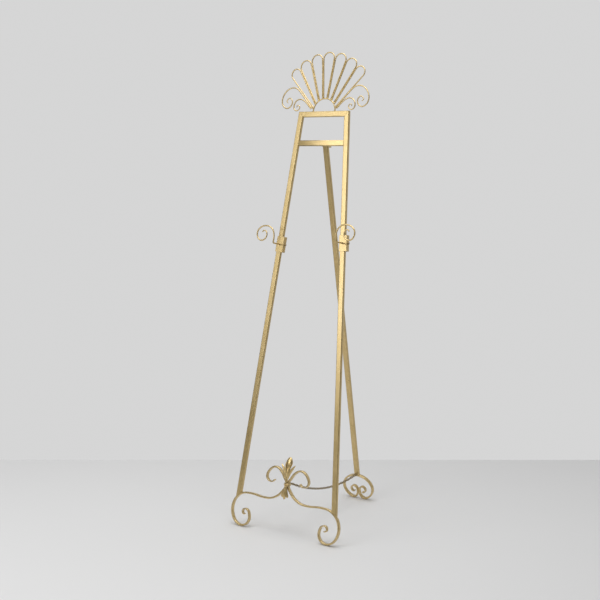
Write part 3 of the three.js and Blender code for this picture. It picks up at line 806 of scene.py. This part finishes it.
castSizes = {
    "root": 184.4,
    "front": 4.6,
    "bud": {"half": 13.4, "tall": 27.5, "deep": 7.6, "middle": 62, "back": -4.6, "lean": 9, "segments": (40, 32)},
    # points from root to tip, then half width and half thickness
    "leaves": [
        {
            "line": [(1.7, 2, 3.2), (4.6, 18, 3.4), (10.5, 36, 2.0), (20, 52, 0.4), (29, 63, -1.2)],
            "half": 5.2, "thick": 2.7,
        },
        {
            "line": [(1.2, 5, 5.0), (3.0, 24, 5.4), (5.8, 43, 4.2), (8.8, 58, 2.0), (10.4, 70.5, -0.4)],
            "half": 4.3, "thick": 2.5,
        },
    ],
    "strands": [
        {
            "line": [(-2.8, -0.5, 4.0), (-4.4, -13, 4.8), (-7.6, -27, 5.0), (-11.6, -40, 4.2)],
            "half": 5.4, "thick": 3.4,
        },
        {"line": [(2.8, -0.5, 4.0), (4.4, -13, 4.8), (7.6, -27, 5.0), (11.6, -40, 4.2)], "half": 5.4, "thick": 3.4},
        {"line": [(0, -0.5, 5.4), (0, -15, 7.2), (0, -31, 7.6), (0, -46.5, 5.8)], "half": 5.6, "thick": 3.6},
    ],
}


def castBlade(mesh, points, half, thick, fullAt=0.6, root=0.42, blunt=0.16):
    # a leaf of the casting: a lens section, narrow at its root, full, then drawn to a rounded point
    line = smoothLine(points)
    already = set(mesh.verts)
    made = bmesh.ops.create_circle(mesh, cap_ends=True, radius=1, segments=24)
    for vert in made["verts"]:
        vert.co.y *= 0.78 + 0.42 * math.exp(-((vert.co.x / 0.30) ** 2))  # a rib along the middle
    face = next(iter(made["verts"][0].link_faces))

    def swell(distance):
        share = distance / line["length"]
        if share < fullAt:
            grow = root + (1 - root) * math.sin(share / fullAt * math.pi / 2)
        else:
            fall = (share - fullAt) / (1 - fullAt)
            grow = blunt + (1 - blunt) * math.cos(fall * math.pi / 2) ** 0.8
        return (half * millimetre * grow, thick * millimetre * (0.45 + 0.55 * grow))

    side = pointAt(line, 0)[1].cross(Vector((0, 0, 1))).normalized()
    nose = max(1.6, half * blunt) * millimetre
    sweep(mesh, face, line, side, swell, (0, nose), turn=5, step=1.6)
    return [vert for vert in mesh.verts if vert not in already]


def makeFinial():
    sizes = castSizes
    root = sizes["root"]
    mesh = bmesh.new()
    bud = sizes["bud"]
    made = bmesh.ops.create_uvsphere(mesh, u_segments=bud["segments"][0], v_segments=bud["segments"][1], radius=1)
    for vert in made["verts"]:
        x, y, z = vert.co.x, vert.co.z, -vert.co.y
        narrow = 1 - 0.58 * max(0.0, 0.25 - y) ** 1.2  # drawn in towards the stem
        rim = 0.10 * math.exp(-((math.hypot(x, y) - 0.84) / 0.12) ** 2)
        vert.co = Vector((x * bud["half"] * narrow, y * bud["tall"], z * (1 + rim) * bud["deep"] * narrow))
    lean = Matrix.Rotation(math.radians(-bud["lean"]), 4, "X")
    rise = Matrix.Translation((0, root + bud["middle"], bud["back"]))
    bmesh.ops.transform(mesh, matrix=rise @ lean, verts=made["verts"])
    # stem up to the bud
    stemLine = smoothLine(
        [(0, root - 1, sizes["front"]), (0, root + 18, 4.4), (0, root + 36, 1.6), (0, root + 52, -2.2)]
    )
    face = roundSection(mesh, millimetre, 16)
    bmesh.ops.scale(mesh, vec=(millimetre,) * 3, verts=made["verts"])

    def stemSwell(distance):
        share = distance / stemLine["length"]
        return (3.6 + 3.6 * share ** 2, 4.0 - 0.4 * share)

    sweep(mesh, face, stemLine, Vector((1, 0, 0)), stemSwell, turn=5, step=3)
    for side in (-1, 1):
        for leaf in sizes["leaves"]:
            points = [(side * x, root + y, z) for x, y, z in leaf["line"]]
            castBlade(mesh, points, leaf["half"], leaf["thick"])
    return finishPiece(mesh, "castFinial", "frame", goldPaint, frontPlane, ["cast_finial"])


def makeDrop():
    sizes = castSizes
    mesh = bmesh.new()
    top = collarSizes["middle"] - 5.2
    for strand in sizes["strands"]:
        points = [(x, top + y, z) for x, y, z in strand["line"]]
        castBlade(mesh, points, strand["half"], strand["thick"], fullAt=0.78, root=0.5, blunt=0.74)
    return finishPiece(mesh, "castDrop", "frame", goldPaint, frontPlane, ["cast_drop"])


makeCollar()
makeFinial()
makeDrop()
print("ornament made")


# ---- chain eyes, welded to the collar's back and the rear leg
eyeSizes = {"ring": 4.2, "wire": 1.35}


def makeEye(name, node, body, toward):
    low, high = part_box(node)
    centre = (low + high) / 2
    mesh = bmesh.new()
    made = bmesh.ops.create_circle(mesh, cap_ends=False, radius=eyeSizes["wire"] * millimetre, segments=10)
    bmesh.ops.translate(mesh, vec=(0, eyeSizes["ring"] * millimetre, 0), verts=made["verts"])
    bmesh.ops.spin(
        mesh, geom=mesh.verts[:] + mesh.edges[:], cent=(0, 0, 0), axis=(1, 0, 0), dvec=(0, 0, 0),
        angle=2 * math.pi, steps=28, use_merge=True,
    )
    weldBead(mesh, toward * (eyeSizes["ring"] + eyeSizes["wire"]), (2.6, 2.4, 2.4), seed=len(name))
    return finishPiece(mesh, name, body, brassPlate, Matrix.Translation(centre), [node])


forward = (frontPlane.to_3x3() @ Vector((0, 0, 1))).normalized()
rearForward = (rearPlane.to_3x3() @ Vector((0, 0, 1))).normalized()
makeEye("frontChainEye", "front_chain_eye", "frame", forward)
makeEye("rearChainEye", "rear_chain_eye", "rear_stand", -rearForward)


# ---- hinge: a bent strap welded behind the cross bar, with a rivet through it
hingeSizes = {
    "pin": 3.0, "ear": 2.6, "clear": 0.6, "height": 18, "bend": 3.2, "aboveEnd": 9, "head": 5.2, "headTall": 2.4,
}


def makeHinge():
    sizes = hingeSizes
    ear = tubeSizes["width"] / 2 + sizes["clear"] + sizes["ear"] / 2
    front = tubeSizes["depth"] - pivotBack + sizes["ear"] / 2 + 0.1
    bend = sizes["bend"]
    quarter = [(math.cos(a) * bend, math.sin(a) * bend) for a in [math.radians(i * 7.5) for i in range(13)]]
    right = [(ear - bend + x, front + bend - y) for x, y in quarter]  # from the ear round to the plate
    path = [(ear, sizes["aboveEnd"])] + right
    path = path + [(-x, z) for x, z in reversed(path)]
    line = measured([Vector((x, 0, z)) * millimetre for x, z in path])
    mesh = bmesh.new()
    face = barSection(mesh, sizes["ear"] * millimetre, sizes["height"] * millimetre, 0.5 * millimetre, rounds=2)
    sweep(mesh, face, line, Vector((1, 0, 0)), turn=6, step=6)
    place = frontPlane @ Matrix.Translation(pivotInPlane)
    finishPiece(mesh, "hingeStrap", "frame", goldPaint, place, ["hinge_bracket"])

    mesh = bmesh.new()
    inner = ear + sizes["ear"] / 2 + 0.1
    head = sizes["head"]
    rise = sizes["headTall"] * 0.8
    swing = [math.radians(i * 10) for i in range(9)]
    dome = [(head * math.cos(a), inner + 0.5 + rise * math.sin(a)) for a in swing]
    half = [(sizes["pin"], 0), (sizes["pin"], inner), (head - 0.3, inner)] + dome
    outline = [(0, inner + 0.5 + rise)] + list(reversed(half))
    outline = outline + [(r, -y) for r, y in reversed(outline)][1:]
    verts = [mesh.verts.new(Vector((y, r, 0)) * millimetre) for r, y in outline]
    for before, after in zip(verts, verts[1:]):
        mesh.edges.new((before, after))
    bmesh.ops.spin(
        mesh, geom=mesh.verts[:] + mesh.edges[:], cent=(0, 0, 0), axis=(1, 0, 0), dvec=(0, 0, 0),
        angle=2 * math.pi, steps=32, use_merge=True,
    )
    bmesh.ops.remove_doubles(mesh, verts=mesh.verts, dist=1e-6)
    finishPiece(mesh, "hingeRivet", "frame", brassPlate, place, ["hinge_pin"])

    mesh = bmesh.new()
    back = -tubeSizes["depth"]
    for side in (-1, 1):
        weldSeam(mesh, (side * 11.5, pivotUp - 8.5, back - 0.6), (side * 11.5, pivotUp + 8.5, back - 0.6), 1.5)
    weldSeam(mesh, (-9, pivotUp - 9.2, back - 0.3), (9, pivotUp - 9.2, back - 0.3), 1.3)
    finishPiece(mesh, "hingeWelds", "frame", goldPaint, frontPlane)


makeHinge()


# ---- rear leg with its two scrolls
rearSizes = {"scrollHeight": 99.5, "above": 10}


def makeRearLeg():
    sizes = rearSizes
    reach = (pivot.z / millimetre - tubeSizes["depth"] / 2 * math.sin(legLean)) / math.cos(legLean)
    half = tubeSizes["width"] / 2
    low = sizes["scrollHeight"] - 0.6 - reach
    corners = [(-half, low), (half, low), (half, sizes["above"]), (-half, sizes["above"])]
    mesh = rectangularTube(corners, tubeSizes["depth"], tubeSizes["rounding"], back=-tubeSizes["depth"] / 2)
    hollowEnd(mesh, lambda centre: centre.y, 1.2, 14)
    finishPiece(mesh, "rearLegTube", "rear_stand", goldPaint, rearPlane, ["rear_leg"])
    points = [(x, y - reach) for x, y in rearPoints]
    for label, side in (("left", -1), ("right", 1)):
        bentBar(
            label + "RearScroll", "rear_stand", points, side, rearPlane, -barSizes["depth"] / 2, (0, 1),
            [label + "_rear_scroll"],
        )
    mesh = bmesh.new()
    top = sizes["scrollHeight"] - reach
    for side in (-1, 1):
        weldSeam(mesh, (side * (half + 0.2), top - 1.2, -5.4), (side * (half + 0.2), top - 1.2, 5.4), 1.5)
    for face in (-1, 1):
        weldSeam(mesh, (-8.5, top - 0.3, face * 5.7), (8.5, top - 0.3, face * 5.7), 0.9)
    weldBead(mesh, (0, 30 - reach, 0), (1.5, 4.6, 5.2), seed=5)
    finishPiece(mesh, "rearWelds", "rear_stand", goldPaint, rearPlane)


def makeFootWelds():
    mesh = bmesh.new()
    depth = tubeSizes["depth"]
    for side in (-1, 1):
        for offset, drop in ((-legHalf, 3.9), (legHalf, 2.2)):
            x, y = underLeg(offset)
            push = 0.7 if offset > 0 else -0.7
            weldSeam(mesh, (side * (x + push), y + drop, -depth + 1), (side * (x + push), y + drop, -1), 1.5)
        for height in (tubeSizes["crossTop"] - 17, tubeSizes["crossTop"] - 3):
            x = legAcross(height) - legHalf - 0.1
            weldBead(mesh, (side * x, height, -depth + 0.4), (1.6, 3.0, 1.3), seed=height + side)
    weldBead(mesh, (0, collarSizes["middle"] - 12, -6), (1.6, 7, 4.6), seed=9)
    finishPiece(mesh, "frameWelds", "frame", goldPaint, frontPlane)


makeRearLeg()
makeFootWelds()
print("rear leg made")


# ---- picture hooks: a sleeve that slides on the leg, a curled wire and a knurled clamp screw
hookSizes = {
    "length": 56, "wall": 2, "slack": 8, "clear": 0.4, "corner": 1.8, "wire": 2.6, "reach": 53,
    "screw": 2.5, "head": 4.5, "headTall": 4, "knurls": 22,
}
hookCurl = [
    (-1.5, 15), (0.5, 31), (9, 47), (24, 56), (41, 57), (59, 51), (71.5, 37), (73, 22), (65.5, 8.5), (53, 3),
    (40, 7), (32, 18), (31.5, 30), (38.5, 38.8), (47, 39), (51.8, 32.5),
]
sleeveInside = (tubeSizes["width"] + hookSizes["slack"], tubeSizes["depth"] + 2 * hookSizes["clear"])
sleeveShift = hookSizes["slack"] / 2 - hookSizes["clear"]
sleeveFace = sleeveInside[1] / 2 + hookSizes["wall"]


def makeSleeve(label, place):
    sizes = hookSizes
    outer = sleeveInside[0] / 2 + sizes["wall"]
    tall = sizes["length"] / 2
    corners = [
        (sleeveShift - outer, -tall), (sleeveShift + outer, -tall),
        (sleeveShift + outer, tall), (sleeveShift - outer, tall),
    ]
    mesh = rectangularTube(corners, 2 * sleeveFace, sizes["corner"], back=-sleeveFace)
    mesh.normal_update()
    ends = [face for face in mesh.faces if abs(face.normal.y) > 0.9]
    for end in ends:
        bmesh.ops.inset_region(mesh, faces=[end], thickness=sizes["wall"] * millimetre, use_even_offset=True)
    rims = [edge for end in ends for edge in end.edges]
    bmesh.ops.delete(mesh, geom=ends, context="FACES_ONLY")
    bmesh.ops.bridge_loops(mesh, edges=rims)
    bmesh.ops.recalc_face_normals(mesh, faces=mesh.faces)
    softenEnds(mesh, 0.35, turn=70)
    return finishPiece(mesh, label + "SleeveTube", label + "_hook", goldPaint, place, [label + "_sleeve"])


def makeHookWire(label, side, place):
    sizes = hookSizes
    stem = [
        (sleeveShift, 0, sleeveFace - 0.8), (sleeveShift, 0, sleeveFace + 15), (sleeveShift, 0, sizes["reach"] - 12),
        (sleeveShift, 1.2, sizes["reach"] - 3.5),
    ]
    curl = [
        (sleeveShift + side * x, y, sizes["reach"] - (0.4 if i == 0 else 0)) for i, (x, y) in enumerate(hookCurl)
    ]
    line = smoothLine(stem + curl)
    mesh = bmesh.new()
    face = roundSection(mesh, sizes["wire"] * millimetre, 14)
    nose = sizes["wire"] * millimetre * 0.8

    def taper(distance):
        return (0.8 + 0.2 * min(1.0, (line["length"] - distance) / 0.06),) * 2

    sweep(mesh, face, line, Vector((1, 0, 0)), taper, (0, nose), turn=6)
    weldBead(mesh, (sleeveShift, 0, sleeveFace + 0.2), (4.4, 4.2, 1.7), seed=3 + side)
    return finishPiece(mesh, label + "HookWire", label + "_hook", goldPaint, place, [label + "_hook_wire"])


def makeScrew(label, place):
    sizes = hookSizes
    tip = tubeSizes["width"] / 2 + 0.3
    shoulder = sleeveShift + sleeveInside[0] / 2 + sizes["wall"] + 0.3
    mesh = bmesh.new()
    # shank with its thread
    profile = [(0, tip), (sizes["screw"] - 0.8, tip)]
    along = tip + 0.5
    while along < shoulder - 0.4:
        profile += [(sizes["screw"] - 0.35, along), (sizes["screw"], along + 0.4)]
        along += 0.8
    profile += [(sizes["screw"], shoulder + 0.2)]
    verts = [mesh.verts.new(Vector((y, r, 0)) * millimetre) for r, y in profile]
    for before, after in zip(verts, verts[1:]):
        mesh.edges.new((before, after))
    bmesh.ops.spin(
        mesh, geom=mesh.verts[:] + mesh.edges[:], cent=(0, 0, 0), axis=(1, 0, 0), dvec=(0, 0, 0),
        angle=2 * math.pi, steps=24, use_merge=True,
    )
    bmesh.ops.remove_doubles(mesh, verts=mesh.verts, dist=1e-6)
    # knurled head
    made = bmesh.ops.create_circle(
        mesh, cap_ends=True, radius=sizes["head"] * millimetre, segments=2 * sizes["knurls"]
    )
    bmesh.ops.rotate(mesh, cent=(0, 0, 0), matrix=Matrix.Rotation(math.radians(90), 3, "Y"), verts=made["verts"])
    face = next(iter(made["verts"][0].link_faces))
    before = Matrix.Identity(4)
    for i, (along, share) in enumerate(((0, 0.86), (0.4, 0.95), (0.9, 1.0), (3.1, 1.0), (3.6, 0.95), (4.0, 0.84))):
        if i:
            face = drawOut(mesh, face, cap=i == 1)
        place4 = Matrix.Translation(((shoulder + along) * millimetre, 0, 0)) @ Matrix.Diagonal((1, share, share, 1))
        bmesh.ops.transform(mesh, matrix=place4 @ before.inverted(), verts=face.verts)
        before = place4
    for vert in mesh.verts:
        out = math.hypot(vert.co.y, vert.co.z)
        if out > sizes["head"] * 0.98 * millimetre:
            turn = round(math.atan2(vert.co.z, vert.co.y) / math.pi * sizes["knurls"])
            if turn % 2:
                vert.co.y *= 0.93
                vert.co.z *= 0.93
    bmesh.ops.inset_region(mesh, faces=[face], thickness=1.1 * millimetre)
    bmesh.ops.translate(mesh, vec=(-0.5 * millimetre, 0, 0), verts=face.verts)
    return finishPiece(mesh, label + "ClampScrew", label + "_screw", brassPlate, place, [label + "_clamp_screw"])


for label, side in (("left", -1), ("right", 1)):
    place = hookPlace(label)
    makeSleeve(label, place)
    makeHookWire(label, side, place)
    makeScrew(label, place)
print("hooks made")


# ---- floor and light
studio = {
    "floor": (0.74, 0.74, 0.74, 1), "floorRoughness": 0.62, "behind": 0.755, "wide": 7.0, "front": 6.0,
    "wall": (0.67, 0.67, 0.67, 1), "wallShine": 1.0, "fill": (0.66, 0.66, 0.66, 1), "fillShine": 0.12,
    "bounce": 0.85, "bounceFrom": (0.15, 0.75),  # the fill is brighter from the wall's side
    "lights": {
        "key": {"place": (-1.1, -3.15, 2.05), "aim": (0, 0, 0.95), "size": (2.0, 2.3), "watts": 40},
        "top": {"place": (0.2, -0.4, 3.9), "aim": (0, 0, 0), "size": (3.4, 3.4), "watts": 114},
        "side": {"place": (-3.4, 0.4, 1.8), "aim": (0, 0, 0.9), "size": (1.2, 2.2), "watts": 10},
    },
}


def studioLight(name, place, aim, size, watts, colour=(1, 1, 1)):
    lamp = bpy.data.lights.new(name, "AREA")
    lamp.shape = "RECTANGLE"
    lamp.size, lamp.size_y = size
    lamp.energy = watts
    lamp.color = colour
    light = bpy.data.objects.new(name, lamp)
    light.location = place
    light.rotation_euler = (Vector(aim) - Vector(place)).to_track_quat("-Z", "Y").to_euler()
    bpy.context.scene.collection.objects.link(light)
    return light


def makeStudio(sizes):
    mesh = bmesh.new()
    bmesh.ops.create_grid(mesh, x_segments=1, y_segments=1, size=0.5)
    bmesh.ops.scale(mesh, vec=(sizes["wide"], sizes["behind"] + sizes["front"], 1), verts=mesh.verts)
    bmesh.ops.translate(mesh, vec=(0, (sizes["behind"] - sizes["front"]) / 2, -0.0003), verts=mesh.verts)
    bmesh.ops.rotate(
        mesh, cent=(0, 0, 0), matrix=Matrix.Rotation(math.radians(cameraSetup["turn"]), 3, "Z"), verts=mesh.verts
    )
    data = bpy.data.meshes.new("floor")
    mesh.to_mesh(data)
    mesh.free()
    floor = bpy.data.objects.new("floor", data)
    bpy.context.scene.collection.objects.link(floor)
    material = bpy.data.materials.new("paleFloor")
    material.use_nodes = True
    shader = material.node_tree.nodes["Principled BSDF"]
    shader.inputs["Base Color"].default_value = sizes["floor"]
    shader.inputs["Roughness"].default_value = sizes["floorRoughness"]
    data.materials.append(material)

    bpy.context.scene.view_settings.view_transform = "Standard"
    world = bpy.data.worlds.new("studio")
    bpy.context.scene.world = world
    world.use_nodes = True
    tree = world.node_tree
    tree.nodes.clear()
    start = Value(tree)
    seen = start.node("ShaderNodeLightPath", {}, {}, output="Is Camera Ray")
    toward = start.node("ShaderNodeTexCoord", {}, {}, output="Generated")
    back = start.node("ShaderNodeSeparateXYZ", {}, {0: toward}, output="Y")
    bounce = sizes["fillShine"] + ramp(back, *sizes["bounceFrom"]) * (sizes["bounce"] - sizes["fillShine"])
    wall = start.node("ShaderNodeBackground", {}, {"Color": sizes["wall"], "Strength": sizes["wallShine"]})
    fill = start.node("ShaderNodeBackground", {}, {"Color": sizes["fill"], "Strength": bounce})
    both = start.node("ShaderNodeMixShader", {}, {0: seen, 1: fill, 2: wall})
    start.node("ShaderNodeOutputWorld", {}, {"Surface": both})

    for name, light in sizes["lights"].items():
        studioLight(name, light["place"], light["aim"], light["size"], light["watts"])


makeStudio(studio)
print("studio made")
